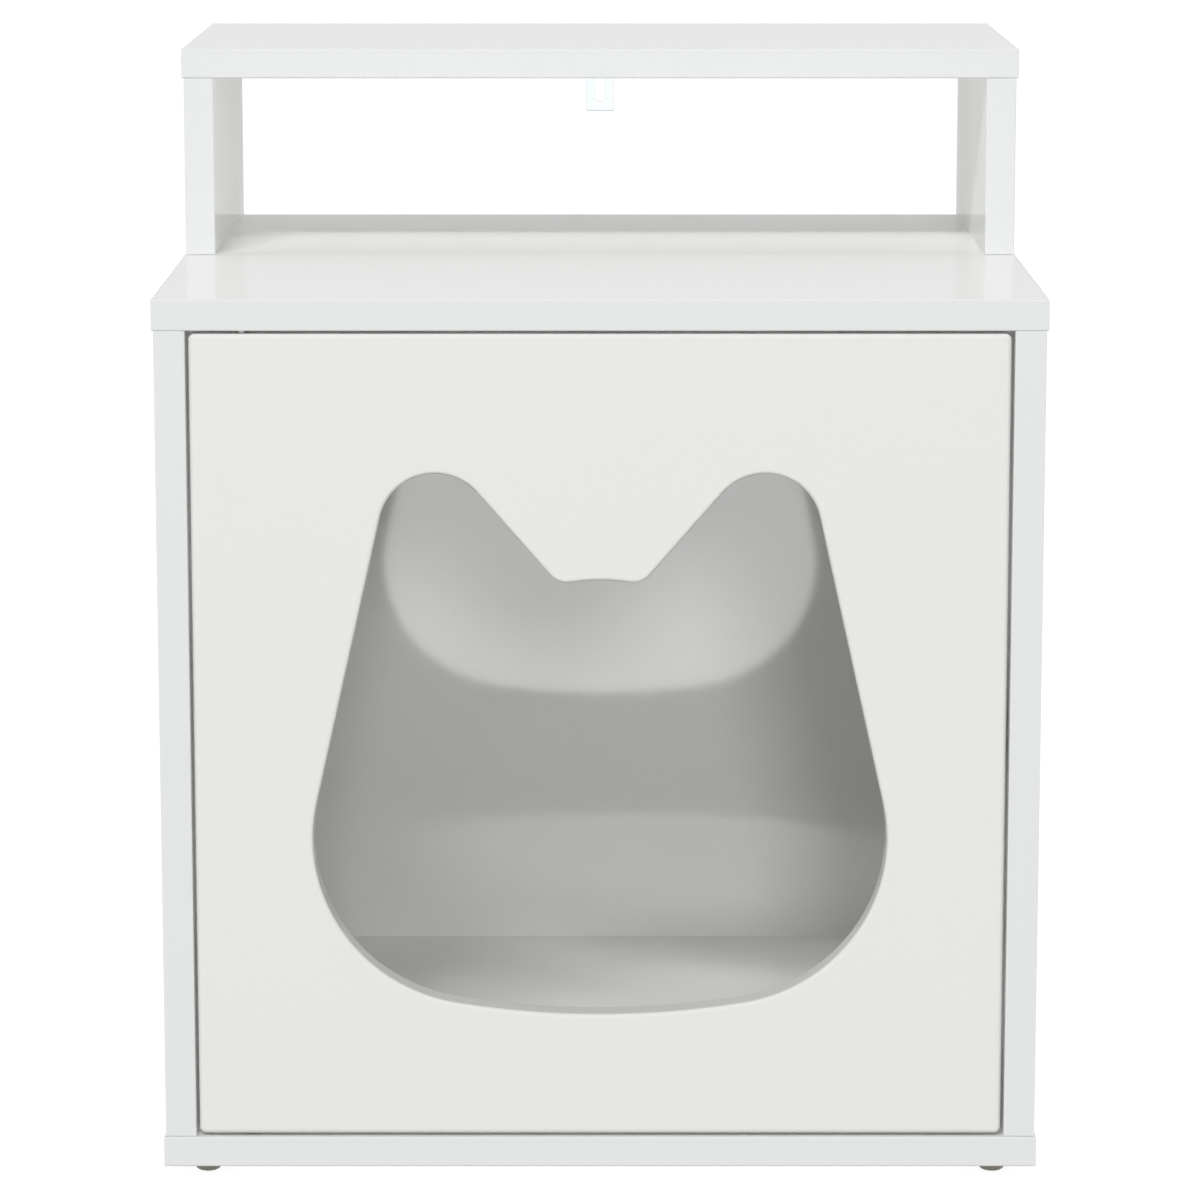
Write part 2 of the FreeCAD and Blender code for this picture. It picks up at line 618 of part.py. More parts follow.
def door_panel():
    """Inset door with rounded edges, the cat-head opening and two bush holes."""
    slab = box(-DOOR_EDGE, DOOR_EDGE, FRONT, DOOR_REAR, DOOR_Z, DOOR_TOP)
    slab = rounded(slab, DOOR_CORNER, lambda b: b.XLength < FIT and b.ZLength < FIT)
    opening = Part.Face(opening_wire()).extrude(TO_REAR * DOOR_THICKNESS)
    panel = slab.cut(opening)
    inside = DOOR_EDGE - DOOR_CORNER - FIT

    def in_opening(b):
        low, high = DOOR_Z + DOOR_CORNER + FIT, DOOR_TOP - DOOR_CORNER - FIT
        return b.XMin > -inside and b.XMax < inside and b.ZMin > low and b.ZMax < high

    panel = rounded(panel, DOOR_ROUND, lambda b: at(b.YMin, b.YMax, FRONT) and not in_opening(b))
    panel = rounded(panel, OPENING_ROUND, lambda b: at(b.YMin, b.YMax, FRONT) and in_opening(b))
    panel = rounded(panel, DOOR_BACK_ROUND, lambda b: at(b.YMin, b.YMax, DOOR_REAR))
    holes = []
    for z, inward in ((DOOR_Z, UP), (DOOR_TOP, DOWN)):
        edge = V(PIVOT_X, PIVOT_Y, z)
        holes.append(rod(BUSH_RADIUS + FIT, edge, inward, BUSH_LENGTH + HOLE_END))
        holes.append(rod(BUSH_RADIUS + BUSH_RIM + FIT, edge, inward, BUSH_FLANGE))
    holes.append(placed(strike_screw_hole(), strike_face(), TO_REAR))
    return panel.cut(holes)


def pivot_pin():
    """Steel pin, from its seat in the board to its free end."""
    length = PIN_SEAT + PIN_REACH
    tip = PIN_RADIUS - PIN_CHAMFER
    return revolved([(0, 0), (tip, 0), (PIN_RADIUS, PIN_CHAMFER), (PIN_RADIUS, length - PIN_CHAMFER),
                     (tip, length), (0, length)])


def pivot_bush():
    """Closed bush above Z = 0, its flange flush with the edge of the door."""
    bore = PIN_RADIUS + RUN_FIT
    rim = BUSH_RADIUS + BUSH_RIM
    return revolved([(bore, 0), (rim, 0), (rim, BUSH_FLANGE), (BUSH_RADIUS, BUSH_FLANGE),
                     (BUSH_RADIUS, BUSH_LENGTH), (0, BUSH_LENGTH), (0, BUSH_DEPTH), (bore, BUSH_DEPTH)])


# Magnetic catch

def catch_screw_places():
    y = CATCH_FRONT + CATCH_LENGTH / 2
    x = SIDE_IN - CATCH_EAR_THICKNESS
    lift = CATCH_HEIGHT / 2 + CATCH_EAR / 2
    return [V(x, y, CATCH_Z - lift), V(x, y, CATCH_Z + lift)]


def magnet_block(extra):
    """Space that the magnet takes, grown by an extra on its sides."""
    half = MAGNET_THICKNESS / 2 + extra
    tall = MAGNET_HEIGHT / 2 + extra
    return box(STRIKE_X - half, STRIKE_X + half, CATCH_FRONT, CATCH_FRONT + MAGNET_LENGTH + extra,
               CATCH_Z - tall, CATCH_Z + tall)


def catch_housing():
    tall = CATCH_HEIGHT / 2
    body = box(SIDE_IN - CATCH_WIDTH, SIDE_IN, CATCH_FRONT, CATCH_FRONT + CATCH_LENGTH,
               CATCH_Z - tall, CATCH_Z + tall)
    body = rounded(body, CATCH_ROUND, lambda b: at(b.XMin, b.XMax, SIDE_IN - CATCH_WIDTH))
    ear = box(SIDE_IN - CATCH_EAR_THICKNESS, SIDE_IN, CATCH_FRONT, CATCH_FRONT + CATCH_LENGTH,
              CATCH_Z - tall - CATCH_EAR, CATCH_Z + tall + CATCH_EAR)
    ear = rounded(ear, CATCH_EAR / 3, lambda b: b.YLength < FIT and b.ZLength < FIT)
    pocket = magnet_block(POLE_THICKNESS + FIT)
    holes = [rod(SCREW_RADIUS + FIT, place, TO_RIGHT, CATCH_EAR_THICKNESS) for place in catch_screw_places()]
    return body.fuse(ear).removeSplitter().cut([pocket] + holes)


def pole_plates():
    plates = []
    inner = MAGNET_THICKNESS / 2
    for side in (-1, 1):
        near, far = sorted((STRIKE_X + side * inner, STRIKE_X + side * (inner + POLE_THICKNESS)))
        plates.append(box(near, far, POLE_FRONT, CATCH_FRONT + MAGNET_LENGTH,
                          CATCH_Z - MAGNET_HEIGHT / 2, CATCH_Z + MAGNET_HEIGHT / 2))
    return plates


def strike_face():
    return V(STRIKE_X, DOOR_REAR + STRIKE_THICKNESS, CATCH_Z)


def strike_screw():
    return flat_screw(SCREW_LENGTH, SCREW_RADIUS, SCREW_HEAD_RADIUS)


def strike_screw_hole():
    return flat_screw_hole(SCREW_LENGTH, SCREW_RADIUS, SCREW_HEAD_RADIUS)


def strike_plate():
    face = strike_face()
    plate = box(face.x - STRIKE_WIDTH / 2, face.x + STRIKE_WIDTH / 2, DOOR_REAR, face.y,
                face.z - STRIKE_HEIGHT / 2, face.z + STRIKE_HEIGHT / 2)
    plate = rounded(plate, STRIKE_WIDTH / 4, lambda b: b.XLength < FIT and b.ZLength < FIT)
    return plate.cut(placed(strike_screw_hole(), face, TO_REAR))


# Write every piece

def save_boards():
    save("base_board", [base_board()])
    save("base_board_edge_bands", board_bands(FRONT, BOARD_REAR, BASE_Z, False))
    save("top_board", [top_board()])
    save("top_board_edge_bands", board_bands(FRONT, BOARD_REAR, TOP_Z, False))
    save("shelf_board", [shelf_board()])
    save("shelf_board_edge_bands", board_bands(SHELF_FRONT, BOARD_REAR, SHELF_Z, True))
    for side, word in ((-1, "left"), (1, "right")):
        save(word + "_side_panel", [side_panel(side)])
        save(word + "_side_edge_band", [side_band(side)])
        save(word + "_riser_panel", [riser_panel(side)])
        save(word + "_riser_edge_bands", riser_bands(side))
    save("back_panel", [back_panel()])


def save_joinery():
    dowels = []
    riser_dowels = []
    screws = []
    cams = ([], [], [])
    screw = flat_screw(RISER_SCREW_LENGTH, RISER_SCREW_RADIUS, RISER_SCREW_HEAD_RADIUS)
    for side in (-1, 1):
        x = side * SIDE_MIDDLE
        for z, towards_panel in ((SIDE_Z, UP), (TOP_Z, DOWN)):
            dowels += joint_dowels(x, SIDE_DOWELS, z, towards_panel)
            for group, pieces in zip(cams, cam_pieces(side, z, towards_panel)):
                group.extend(pieces)
        riser_dowels += joint_dowels(x, RISER_DOWELS, RISER_Z, UP)
        riser_dowels += joint_dowels(x, SHELF_DOWELS, SHELF_Z, DOWN)
        screws += [placed(screw, V(x, y, TOP_Z), DOWN) for y in RISER_SCREWS]
    save("carcass_dowels", dowels)
    save("riser_dowels", riser_dowels)
    save("riser_screws", screws)
    for kind, group in zip(("locks", "bolts", "covers"), cams):
        save("carcass_cam_" + kind, group)
    places = sum((nail_places(kind) for kind in ("base", "top", "left", "right")), [])
    save("back_panel_nails", [placed(nail(), place, TO_REAR) for place in places])


def save_feet():
    for name, place in foot_places().items():
        save(name + "_foot", [placed(foot(), place, UP)])
    save("foot_nails", [placed(foot_nail(), place, UP) for place in foot_places().values()])


def save_bracket():
    save("wall_bracket", [wall_bracket()])
    save("wall_bracket_screw", [placed(pan_screw(), bracket_screw_place(), DOWN)])


def save_door():
    save("door_panel", [door_panel()])
    pivots = (("lower", SIDE_Z, DOOR_Z, UP), ("upper", TOP_Z, DOOR_TOP, DOWN))
    for word, board_z, door_z, inward in pivots:
        seat = V(PIVOT_X, PIVOT_Y, board_z) - inward * PIN_SEAT
        save(word + "_pivot_pin", [placed(pivot_pin(), seat, inward)])
        save(word + "_pivot_bush", [placed(pivot_bush(), V(PIVOT_X, PIVOT_Y, door_z), inward)])
    save("strike_plate", [strike_plate()])
    save("strike_screw", [placed(strike_screw(), strike_face(), TO_REAR)])


def save_catch():
    save("catch_housing", [catch_housing()])
    save("catch_magnet", [magnet_block(0)])
    save("catch_pole_plates", pole_plates())
    save("catch_screws", [placed(pan_screw(), place, TO_RIGHT * -1) for place in catch_screw_places()])


os.makedirs("parts", exist_ok=True)
save_boards()
save_joinery()
save_feet()
save_bracket()
save_door()
save_catch()
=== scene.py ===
import math

import bpy
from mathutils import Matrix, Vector


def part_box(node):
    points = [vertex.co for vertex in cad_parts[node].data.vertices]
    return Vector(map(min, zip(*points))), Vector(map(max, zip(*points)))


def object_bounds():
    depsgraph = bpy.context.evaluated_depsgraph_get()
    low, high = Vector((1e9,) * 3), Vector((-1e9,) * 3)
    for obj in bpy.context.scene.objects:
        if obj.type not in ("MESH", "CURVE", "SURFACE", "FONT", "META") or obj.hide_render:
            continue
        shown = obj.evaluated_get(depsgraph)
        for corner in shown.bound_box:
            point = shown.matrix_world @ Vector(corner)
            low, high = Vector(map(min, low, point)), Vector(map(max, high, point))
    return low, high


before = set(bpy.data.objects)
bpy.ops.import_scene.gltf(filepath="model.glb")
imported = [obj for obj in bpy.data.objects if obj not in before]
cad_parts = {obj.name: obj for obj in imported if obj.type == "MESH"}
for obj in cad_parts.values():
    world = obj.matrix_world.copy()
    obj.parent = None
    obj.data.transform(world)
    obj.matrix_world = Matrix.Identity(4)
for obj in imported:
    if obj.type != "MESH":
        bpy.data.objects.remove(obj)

CAD_LOW, CAD_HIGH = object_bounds()

# Camera, in metres, radians and millimetres of lens, fitted to the photograph's 1200 x 1200 frame
CAMERA_PLACE = (0.0, -2.4965, 0.7055)
CAMERA_PITCH = 0.1799
CAMERA_LENS = 146.66
CAMERA_SENSOR = 36.0

# Sky: its level in front of and behind the object, how softly they meet, and the height of the white horizon
SKY_FRONT = 0.15
SKY_BEHIND = 0.64
SKY_BLEND = 0.15
HORIZON_RISE = 0.05

# Studio lights: brightness is the share of white that a lamp gives a white face that looks straight at it
LIGHTS = (
    # name, degrees to the right of the front, degrees up, size, brightness
    ("key", -14.0, 39.5, (4.4, 0.8), 0.50),
    ("front_high", 0.0, 46.0, (2.1, 1.0), 0.12),
    ("front_fill", 4.0, 16.0, (2.1, 2.2), 0.23),
    ("left_fill", -90.0, 2.5, (3.0, 1.4), 0.13),
    ("right_fill", 90.0, 2.5, (3.0, 1.4), 0.18),
    ("rear_fill", 180.0, 2.5, (3.0, 1.4), 0.16),
)
LIGHT_DISTANCE = 15.0
OVERHEAD_HEIGHT = 6.0
OVERHEAD_SIZE = (3.0, 0.16)
OVERHEAD_LEVEL = 0.08

# White walls pass the light on many times inside the cabin
LIGHT_BOUNCES = 16

# Floor: its own white, the share that comes from the light on it, and the glow that it gives the object
FLOOR_HALF = 40.0
FLOOR_GLOW = 0.90
FLOOR_LIT = 0.20
FLOOR_BOUNCE = 0.41

# The bracket's leg under the shelf reaches this far down
BRACKET_LEG = 0.004

# Gloss: the boards and the back mirror the same share at every angle, the other finishes more at low angles
BOARD_MIRROR = 0.25
BACK_MIRROR = 0.27
BAND_IOR = 1.55
DOOR_IOR = 1.5
MOULDED_IOR = 1.5
CLEAR_IOR = 1.49

# Roughness: one number, or the range over which it varies
BOARD_ROUGHNESS = (0.060, 0.108)
BARE_CHIP_ROUGHNESS = 0.9
BAND_ROUGHNESS = (0.11, 0.20)
DOOR_ROUGHNESS = (0.18, 0.27)
BACK_ROUGHNESS = 0.06
PRIMED_ROUGHNESS = 0.72
FOOT_ROUGHNESS = (0.50, 0.62)
CAP_ROUGHNESS = (0.32, 0.42)
BUSH_ROUGHNESS = (0.36, 0.46)
CLEAR_ROUGHNESS = (0.01, 0.05)
CUT_EDGE_ROUGHNESS = 0.30
BEECH_ROUGHNESS = (0.50, 0.65)
ZINC_ROUGHNESS = (0.38, 0.22)
FERRITE_ROUGHNESS = (0.45, 0.65)

# Finishes, as linear colours
PURE_WHITE = (1.0, 1.0, 1.0)
BOARD_WHITE = (0.930, 0.930, 0.922)
BAND_WHITE = (0.785, 0.803, 0.798)
DOOR_WHITE = (0.815, 0.815, 0.798)
BACK_WHITE = (0.935, 0.935, 0.932)
BACK_REAR = (0.700, 0.690, 0.655)
CHIP_LIGHT = (0.520, 0.370, 0.215)
CHIP_DARK = (0.240, 0.150, 0.080)
FOOT_TAUPE = (0.262, 0.246, 0.195)
CLEAR_TINT = (0.910, 0.972, 0.978)
# Grey for the bracket's cut edges: painted shade along its outlines, darker than the clear tint
CLEAR_EDGE_SHADE = (0.700, 0.740, 0.745)
CAP_WHITE = (0.790, 0.790, 0.775)
BUSH_WHITE = (0.720, 0.705, 0.640)
BEECH_LIGHT = (0.610, 0.420, 0.250)
BEECH_DARK = (0.470, 0.295, 0.160)
ZINC = (0.640, 0.655, 0.670)
FERRITE = (0.045, 0.045, 0.050)

# Boards whose rear edge has no band and shows bare chipboard
BARE_REAR_BOARDS = ("base_board", "top_board", "left_side_panel", "right_side_panel")


# Node helpers

def new_material(name):
    material = bpy.data.materials.new(name)
    material.use_nodes = True
    material.node_tree.nodes.clear()
    output = material.node_tree.nodes.new("ShaderNodeOutputMaterial")
    return material, material.node_tree, output


def add(tree, kind, inputs=None, **settings):
    """A node with its settings, and its inputs as constants or as links from other nodes' sockets."""
    node = tree.nodes.new(kind)
    for key, value in settings.items():
        setattr(node, key, value)
    for key, value in (inputs or {}).items():
        if isinstance(value, bpy.types.NodeSocket):
            tree.links.new(value, node.inputs[key])
        else:
            node.inputs[key].default_value = value
    return node


def rgba(colour, scale=1.0):
    return tuple(channel * scale for channel in colour) + (1.0,)


def scaled(colour, scale):
    return [channel * scale for channel in colour]


def place_of(tree):
    """Where a point lies on the part at rest, in metres."""
    return add(tree, "ShaderNodeTexCoord").outputs["Object"]


def facing(tree, axis):
    """How far a face of the part at rest looks along an axis, from -1 to 1."""
    normal = add(tree, "ShaderNodeTexCoord").outputs["Normal"]
    return add(tree, "ShaderNodeSeparateXYZ", {"Vector": normal}).outputs[axis]


def worked(tree, operation, first, second=0.0):
    """One step of arithmetic on two numbers."""
    return add(tree, "ShaderNodeMath", {0: first, 1: second}, operation=operation).outputs[0]


def noise(tree, place, per_metre, detail=3.0, roughness=0.5):
    node = add(tree, "ShaderNodeTexNoise", {"Vector": place, "Scale": per_metre, "Detail": detail,
                                            "Roughness": roughness})
    return node.outputs["Fac"]


def stretched(tree, place, along_x=1.0, along_y=1.0, along_z=1.0):
    """The place, counted finer or coarser along each axis."""
    node = add(tree, "ShaderNodeMapping", {"Vector": place, "Scale": (along_x, along_y, along_z)})
    return node.outputs["Vector"]


def ramp(tree, value, low, high, from_low=0.3, from_high=0.7):
    """A colour that goes from low to high as the value rises."""
    node = add(tree, "ShaderNodeValToRGB", {"Fac": value})
    node.color_ramp.elements[0].position = from_low
    node.color_ramp.elements[0].color = rgba(low)
    node.color_ramp.elements[1].position = from_high
    node.color_ramp.elements[1].color = rgba(high)
    return node.outputs["Color"]


def span(tree, value, low, high, from_low=0.3, from_high=0.7):
    """A number that goes from low to high as the value rises."""
    node = add(tree, "ShaderNodeMapRange", {"Value": value, "From Min": from_low, "From Max": from_high,
                                            "To Min": low, "To Max": high})
    return node.outputs["Result"]


def between(tree, factor, first, second):
    """A number between two others."""
    return add(tree, "ShaderNodeMix", {0: factor, 2: first, 3: second}, data_type="FLOAT").outputs[0]


def blended(tree, factor, first, second, how="MIX"):
    """A colour between two others, or one laid over the other."""
    node = add(tree, "ShaderNodeMix", {0: factor, 6: first, 7: second}, data_type="RGBA", blend_type=how)
    return node.outputs[2]


def relief(tree, height, depth, strength):
    node = add(tree, "ShaderNodeBump", {"Height": height, "Distance": depth, "Strength": strength})
    return node.outputs["Normal"]


def shiny(tree, output, inputs):
    shader = add(tree, "ShaderNodeBsdfPrincipled", inputs)
    tree.links.new(shader.outputs["BSDF"], output.inputs["Surface"])


def mottled(tree, place, colour, spread, per_metre, slow_spread=0.006):
    """A colour with fine speckle and a slow drift over the surface."""
    fine = noise(tree, place, per_metre, detail=4.0, roughness=0.6)
    slow = noise(tree, place, per_metre=5.0, detail=2.0)
    speckled = ramp(tree, fine, scaled(colour, 1 - spread), scaled(colour, 1 + spread))
    drift = ramp(tree, slow, scaled(PURE_WHITE, 1 - slow_spread), PURE_WHITE)
    return blended(tree, 1.0, speckled, drift, "MULTIPLY")


# Finishes

def bare_chipboard(tree, place):
    """The cut edge of a board: pressed chips of many browns."""
    chip_grid = stretched(tree, place, along_x=420.0, along_y=420.0, along_z=900.0)
    chips = add(tree, "ShaderNodeTexVoronoi", {"Vector": chip_grid, "Scale": 1.0, "Randomness": 1.0})
    shade = add(tree, "ShaderNodeSeparateColor", {"Color": chips.outputs["Color"]}).outputs["Red"]
    return ramp(tree, shade, CHIP_DARK, CHIP_LIGHT, from_low=0.05, from_high=0.8)


def gloss_laminate(name, bare_rear):
    """White gloss-coated board: faint speckle and orange peel, bare chipboard on an unbanded rear edge."""
    material, tree, output = new_material(name)
    place = place_of(tree)
    colour = mottled(tree, place, BOARD_WHITE, spread=0.010, per_metre=900.0)
    smear = noise(tree, place, per_metre=14.0, detail=4.0, roughness=0.6)
    rough = span(tree, smear, *BOARD_ROUGHNESS)
    peel = relief(tree, noise(tree, place, per_metre=260.0, detail=2.0), depth=0.0002, strength=0.05)
    mirror = BOARD_MIRROR
    if bare_rear:
        is_rear = span(tree, facing(tree, "Y"), 0.0, 1.0, from_low=0.9, from_high=0.95)
        colour = blended(tree, is_rear, colour, bare_chipboard(tree, place))
        mirror = span(tree, is_rear, BOARD_MIRROR, 0.0, from_low=0.0, from_high=1.0)
        rough = between(tree, is_rear, rough, BARE_CHIP_ROUGHNESS)
    shiny(tree, output, {"Base Color": colour, "Metallic": mirror, "Roughness": rough, "Normal": peel,
                         "Specular IOR Level": 0.0})
    return material


def edge_band(name):
    """Plastic edge band with faint trimming marks, cooler than the boards except at their ends."""
    material, tree, output = new_material(name)
    place = place_of(tree)
    sideways = worked(tree, "ABSOLUTE", facing(tree, "X"))
    is_end = span(tree, sideways, 0.0, 1.0, from_low=0.8, from_high=0.95)
    mirror = span(tree, is_end, 0.0, BOARD_MIRROR, from_low=0.0, from_high=1.0)
    colour = blended(tree, is_end, mottled(tree, place, BAND_WHITE, spread=0.008, per_metre=1200.0),
                     mottled(tree, place, BOARD_WHITE, spread=0.008, per_metre=1200.0))
    rough = span(tree, noise(tree, place, per_metre=30.0), *BAND_ROUGHNESS)
    chatter = relief(tree, noise(tree, place, per_metre=700.0, detail=2.0), depth=0.00005, strength=0.08)
    shiny(tree, output, {"Base Color": colour, "Metallic": mirror, "Roughness": rough, "Normal": chatter,
                         "IOR": BAND_IOR})
    return material


def door_membrane(name):
    """Door front: thin white membrane over fibreboard, softer gloss than the boards."""
    material, tree, output = new_material(name)
    place = place_of(tree)
    colour = mottled(tree, place, DOOR_WHITE, spread=0.008, per_metre=700.0)
    rough = span(tree, noise(tree, place, per_metre=10.0, detail=4.0, roughness=0.6), *DOOR_ROUGHNESS)
    peel = relief(tree, noise(tree, place, per_metre=330.0), depth=0.0002, strength=0.06)
    shiny(tree, output, {"Base Color": colour, "Roughness": rough, "Normal": peel, "IOR": DOOR_IOR})
    return material


def back_sheet(name):
    """Thin fibreboard back: white and glossy on the inside, primed and fibrous on the rear."""
    material, tree, output = new_material(name)
    place = place_of(tree)
    white = mottled(tree, place, BACK_WHITE, spread=0.010, per_metre=800.0)
    fibres = noise(tree, stretched(tree, place, along_z=0.35), per_metre=1500.0, detail=5.0, roughness=0.65)
    primed = ramp(tree, fibres, scaled(BACK_REAR, 0.93), BACK_REAR)
    is_rear = span(tree, facing(tree, "Y"), 0.0, 1.0, from_low=0.4, from_high=0.6)
    colour = blended(tree, is_rear, white, primed)
    mirror = span(tree, is_rear, BACK_MIRROR, 0.0, from_low=0.0, from_high=1.0)
    rough = span(tree, is_rear, BACK_ROUGHNESS, PRIMED_ROUGHNESS, from_low=0.0, from_high=1.0)
    strength = span(tree, is_rear, low=0.005, high=0.15, from_low=0.0, from_high=1.0)
    shiny(tree, output, {"Base Color": colour, "Metallic": mirror, "Roughness": rough,
                         "Normal": relief(tree, fibres, depth=0.0001, strength=strength),
                         "Specular IOR Level": 0.0})
    return material


def moulded_plastic(name, colour, roughness, grain, spread):
    """Moulded plastic with a fine spark-eroded grain."""
    material, tree, output = new_material(name)
    place = place_of(tree)
    tint = mottled(tree, place, colour, spread, per_metre=1600.0, slow_spread=0.02)
    rough = span(tree, noise(tree, place, per_metre=300.0), *roughness)
    pits = noise(tree, place, per_metre=3500.0, roughness=0.6)
    shiny(tree, output, {"Base Color": tint, "Roughness": rough, "IOR": MOULDED_IOR,
                         "Normal": relief(tree, pits, depth=0.00003, strength=grain)})
    return material


def bracket_edges(tree, place):
    """1 on the bracket's cut edges and 0 on the wide faces of its tab and of its leg under the shelf."""
    flat_tab = worked(tree, "ABSOLUTE", facing(tree, "Y"))
    flat_leg = worked(tree, "ABSOLUTE", facing(tree, "Z"))
    leg_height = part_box("shelf_board")[0].z - BRACKET_LEG
    height = add(tree, "ShaderNodeSeparateXYZ", {"Vector": place}).outputs["Z"]
    on_leg = worked(tree, "GREATER_THAN", height, leg_height)
    flat = worked(tree, "MAXIMUM", flat_tab, worked(tree, "MULTIPLY", flat_leg, on_leg))
    return span(tree, flat, 1.0, 0.0, from_low=0.75, from_high=0.97)


def clear_plastic(name):
    """Clear bracket: see-through faces with a trace of haze and flow marks, and rougher cut edges whose grey
    tint is painted shade standing in for the dark outlines that refraction gives at the edges.
    """
    material, tree, output = new_material(name)
    place = place_of(tree)
    edge = bracket_edges(tree, place)
    haze = span(tree, noise(tree, place, per_metre=220.0), *CLEAR_ROUGHNESS)
    rough = between(tree, edge, haze, CUT_EDGE_ROUGHNESS)
    flow = noise(tree, stretched(tree, place, along_z=0.3), per_metre=260.0, detail=2.0)
    tint = ramp(tree, noise(tree, place, per_metre=40.0), scaled(CLEAR_TINT, 0.975), CLEAR_TINT)
    # The cut edges are rougher, which is real, and tinted grey, which is painted edge shade
    shiny(tree, output, {"Base Color": blended(tree, edge, tint, rgba(CLEAR_EDGE_SHADE)), "Roughness": rough,
                         "Normal": relief(tree, flow, depth=0.0001, strength=0.05), "IOR": CLEAR_IOR,
                         "Transmission Weight": 1.0})
    return material


def beech(name):
    """Dowel wood: straight beech grain with short dark flecks."""
    material, tree, output = new_material(name)
    place = place_of(tree)
    grain = noise(tree, stretched(tree, place, along_z=0.08), per_metre=1400.0, detail=4.0, roughness=0.6)
    flecks = noise(tree, stretched(tree, place, along_z=0.2), per_metre=3200.0, detail=2.0)
    wood = ramp(tree, grain, BEECH_DARK, BEECH_LIGHT)
    is_fleck = span(tree, flecks, low=0.0, high=0.5, from_low=0.58, from_high=0.72)
    wood = blended(tree, is_fleck, wood, rgba(BEECH_DARK, 0.7))
    shiny(tree, output, {"Base Color": wood, "Roughness": span(tree, grain, *BEECH_ROUGHNESS),
                         "Normal": relief(tree, grain, depth=0.0002, strength=0.3)})
    return material


def zinc_plate(name):
    """Bright zinc-plated steel with fine tumbling marks and dull patches."""
    material, tree, output = new_material(name)
    place = place_of(tree)
    patches = noise(tree, place, per_metre=420.0, detail=4.0, roughness=0.6)
    tint = ramp(tree, patches, scaled(ZINC, 0.86), ZINC)
    marks = relief(tree, noise(tree, place, per_metre=5200.0), depth=0.00008, strength=0.15)
    rough = span(tree, patches, *ZINC_ROUGHNESS)
    shiny(tree, output, {"Base Color": tint, "Metallic": 1.0, "Roughness": rough, "Normal": marks})
    return material


def ferrite(name):
    """Magnet: dark sintered ferrite with fine pores."""
    material, tree, output = new_material(name)
    place = place_of(tree)
    pores = noise(tree, place, per_metre=2600.0, detail=4.0, roughness=0.7)
    tint = ramp(tree, pores, scaled(FERRITE, 0.5), scaled(FERRITE, 1.4))
    shiny(tree, output, {"Base Color": tint, "Roughness": span(tree, pores, *FERRITE_ROUGHNESS),
                         "Normal": relief(tree, pores, depth=0.00015, strength=0.3)})
    return material


def dress():
    """Each node takes the finish of its material slot."""
    finishes = {
        "coated_board": gloss_laminate("gloss board", bare_rear=False),
        "edge_band": edge_band("edge band"),
        "door_front": door_membrane("door membrane"),
        "back_board": back_sheet("back sheet"),
        "foot_plastic": moulded_plastic("foot plastic", FOOT_TAUPE, FOOT_ROUGHNESS, grain=0.35, spread=0.05),
        "clear_plastic": clear_plastic("clear plastic"),
        "dowel_wood": beech("beech"),
        "zinc_steel": zinc_plate("zinc plate"),
        "cap_plastic": moulded_plastic("cap plastic", CAP_WHITE, CAP_ROUGHNESS, grain=0.12, spread=0.012),
        "bush_plastic": moulded_plastic("bush plastic", BUSH_WHITE, BUSH_ROUGHNESS, grain=0.12, spread=0.02),
        "magnet_dark": ferrite("ferrite"),
    }
    bare_rear = gloss_laminate("gloss board, bare rear edge", bare_rear=True)
    for name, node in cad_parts.items():
        slot = node.data.materials[0].name
        node.data.materials[0] = bare_rear if name in BARE_REAR_BOARDS else finishes[slot]


# Studio

def floor_material():
    """Light table: white to the camera and in reflections, an even pale glow to the bounced light."""
    material, tree, output = new_material("studio floor")
    path = add(tree, "ShaderNodeLightPath").outputs
    seen = worked(tree, "MAXIMUM", path["Is Camera Ray"], path["Is Glossy Ray"])
    seen = worked(tree, "MAXIMUM", seen, path["Is Transmission Ray"])
    glow = add(tree, "ShaderNodeEmission", {"Color": rgba(PURE_WHITE), "Strength": FLOOR_GLOW})
    lit = add(tree, "ShaderNodeBsdfDiffuse", {"Color": rgba(PURE_WHITE, FLOOR_LIT)})
    white = add(tree, "ShaderNodeAddShader", {0: glow.outputs[0], 1: lit.outputs[0]})
    bounce = add(tree, "ShaderNodeEmission", {"Color": rgba(PURE_WHITE), "Strength": FLOOR_BOUNCE})
    mix = add(tree, "ShaderNodeMixShader", {0: seen, 1: bounce.outputs[0], 2: white.outputs[0]})
    tree.links.new(mix.outputs[0], output.inputs["Surface"])
    return material


def make_floor():
    mesh = bpy.data.meshes.new("studio_floor")
    corners = [(x * FLOOR_HALF, y * FLOOR_HALF, 0.0) for x, y in ((-1, -1), (1, -1), (1, 1), (-1, 1))]
    mesh.from_pydata(corners, [], [(0, 1, 2, 3)])
    floor = bpy.data.objects.new("studio_floor", mesh)
    bpy.context.scene.collection.objects.link(floor)
    mesh.materials.append(floor_material())


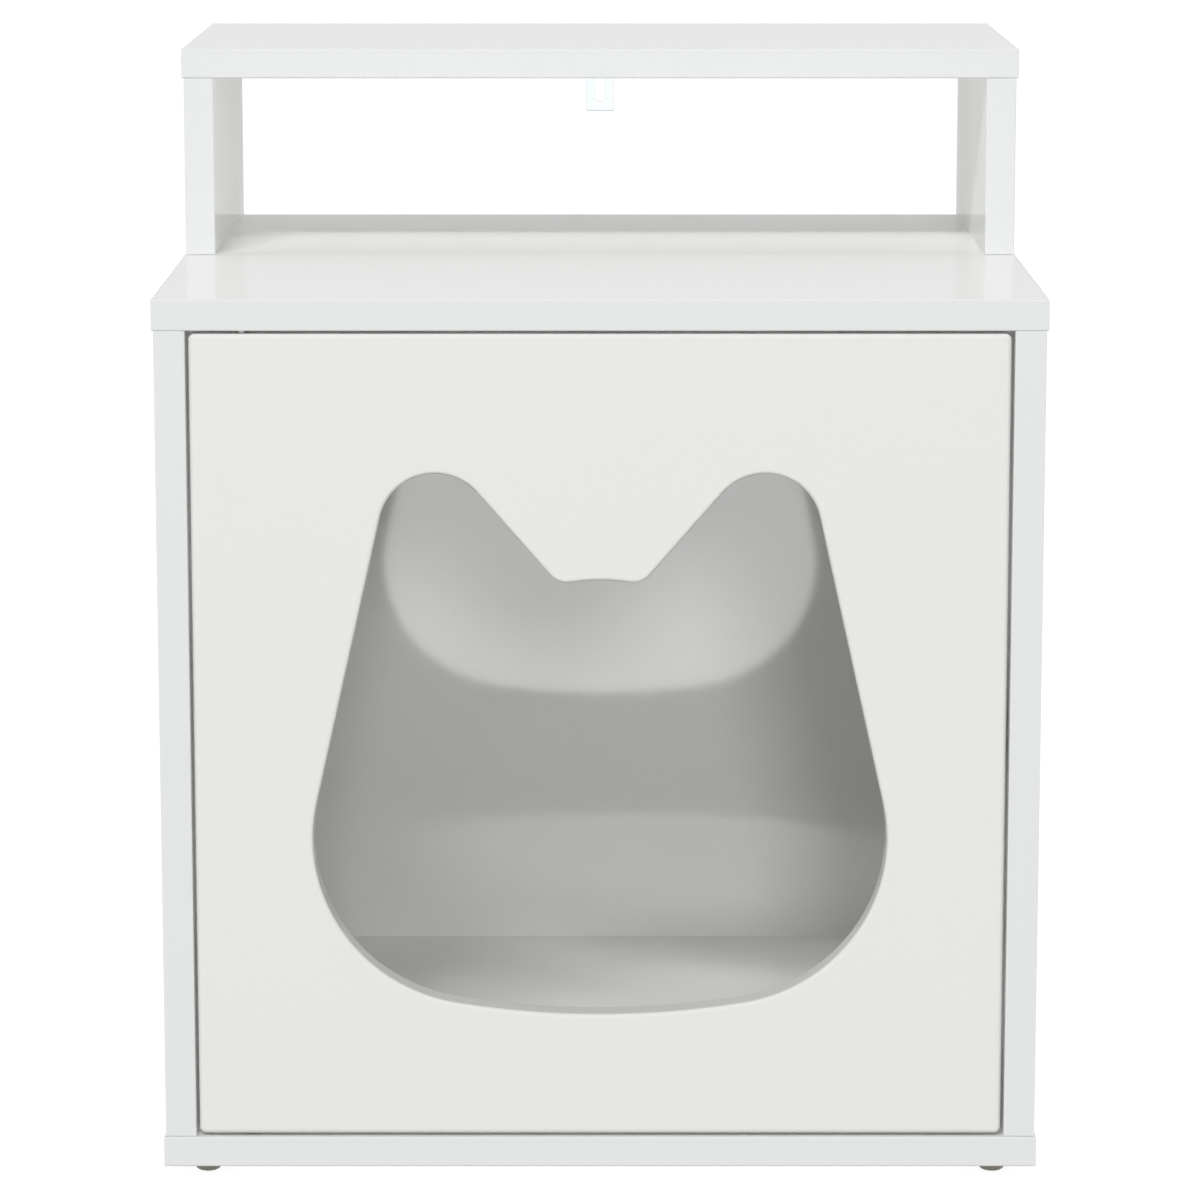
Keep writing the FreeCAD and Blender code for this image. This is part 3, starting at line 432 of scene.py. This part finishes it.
def make_sky():
    """A pale backdrop behind the object, a dim room in front of it, and white where they meet the floor."""
    world = bpy.data.worlds.new("studio")
    bpy.context.scene.world = world
    world.use_nodes = True
    tree = world.node_tree
    tree.nodes.clear()
    direction = add(tree, "ShaderNodeTexCoord").outputs["Generated"]
    part = add(tree, "ShaderNodeSeparateXYZ", {"Vector": direction}).outputs
    wall = span(tree, part["Y"], SKY_FRONT, SKY_BEHIND, from_low=-SKY_BLEND, from_high=SKY_BLEND)
    near_floor = span(tree, part["Z"], 1.0, 0.0, from_low=0.0, from_high=HORIZON_RISE)
    back = add(tree, "ShaderNodeBackground", {"Color": rgba(PURE_WHITE),
                                              "Strength": between(tree, near_floor, wall, 1.0)})
    output = add(tree, "ShaderNodeOutputWorld")
    tree.links.new(back.outputs[0], output.inputs["Surface"])


def soft_box(name, place, target, size, level):
    """Rectangular soft light that gives a white face at the target this share of white."""
    way = target - place
    data = bpy.data.lights.new(name, "AREA")
    data.shape = "RECTANGLE"
    data.size, data.size_y = size
    data.energy = level * (math.pi * way.length) ** 2
    lamp = bpy.data.objects.new(name, data)
    bpy.context.scene.collection.objects.link(lamp)
    lamp.location = place
    lamp.rotation_mode = "QUATERNION"
    lamp.rotation_quaternion = way.to_track_quat("-Z", "Y")
    lamp.visible_camera = False
    lamp.visible_glossy = False
    lamp.visible_transmission = False


def make_lights():
    front = Vector((0.0, CAD_LOW.y, (CAD_LOW.z + CAD_HIGH.z) / 2))
    for name, right, up, size, level in LIGHTS:
        turn, lift = math.radians(right), math.radians(up)
        away = Vector((math.sin(turn) * math.cos(lift), -math.cos(turn) * math.cos(lift), math.sin(lift)))
        soft_box(name, front + LIGHT_DISTANCE * away, front, size, level)
    shelf_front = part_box("shelf_board_edge_bands")[0].y
    soft_box("overhead", Vector((0.0, shelf_front, OVERHEAD_HEIGHT)), Vector((0.0, shelf_front, CAD_HIGH.z)),
             OVERHEAD_SIZE, OVERHEAD_LEVEL)


def make_camera():
    data = bpy.data.cameras.new("camera")
    data.lens = CAMERA_LENS
    data.sensor_width = CAMERA_SENSOR
    camera = bpy.data.objects.new("camera", data)
    bpy.context.scene.collection.objects.link(camera)
    camera.location = CAMERA_PLACE
    camera.rotation_euler = (math.pi / 2 - CAMERA_PITCH, 0.0, 0.0)
    bpy.context.scene.camera = camera


dress()
make_floor()
make_sky()
make_lights()
make_camera()
bpy.context.scene.view_settings.view_transform = "Standard"
bpy.context.scene.cycles.diffuse_bounces = LIGHT_BOUNCES
bpy.context.scene.cycles.max_bounces = LIGHT_BOUNCES
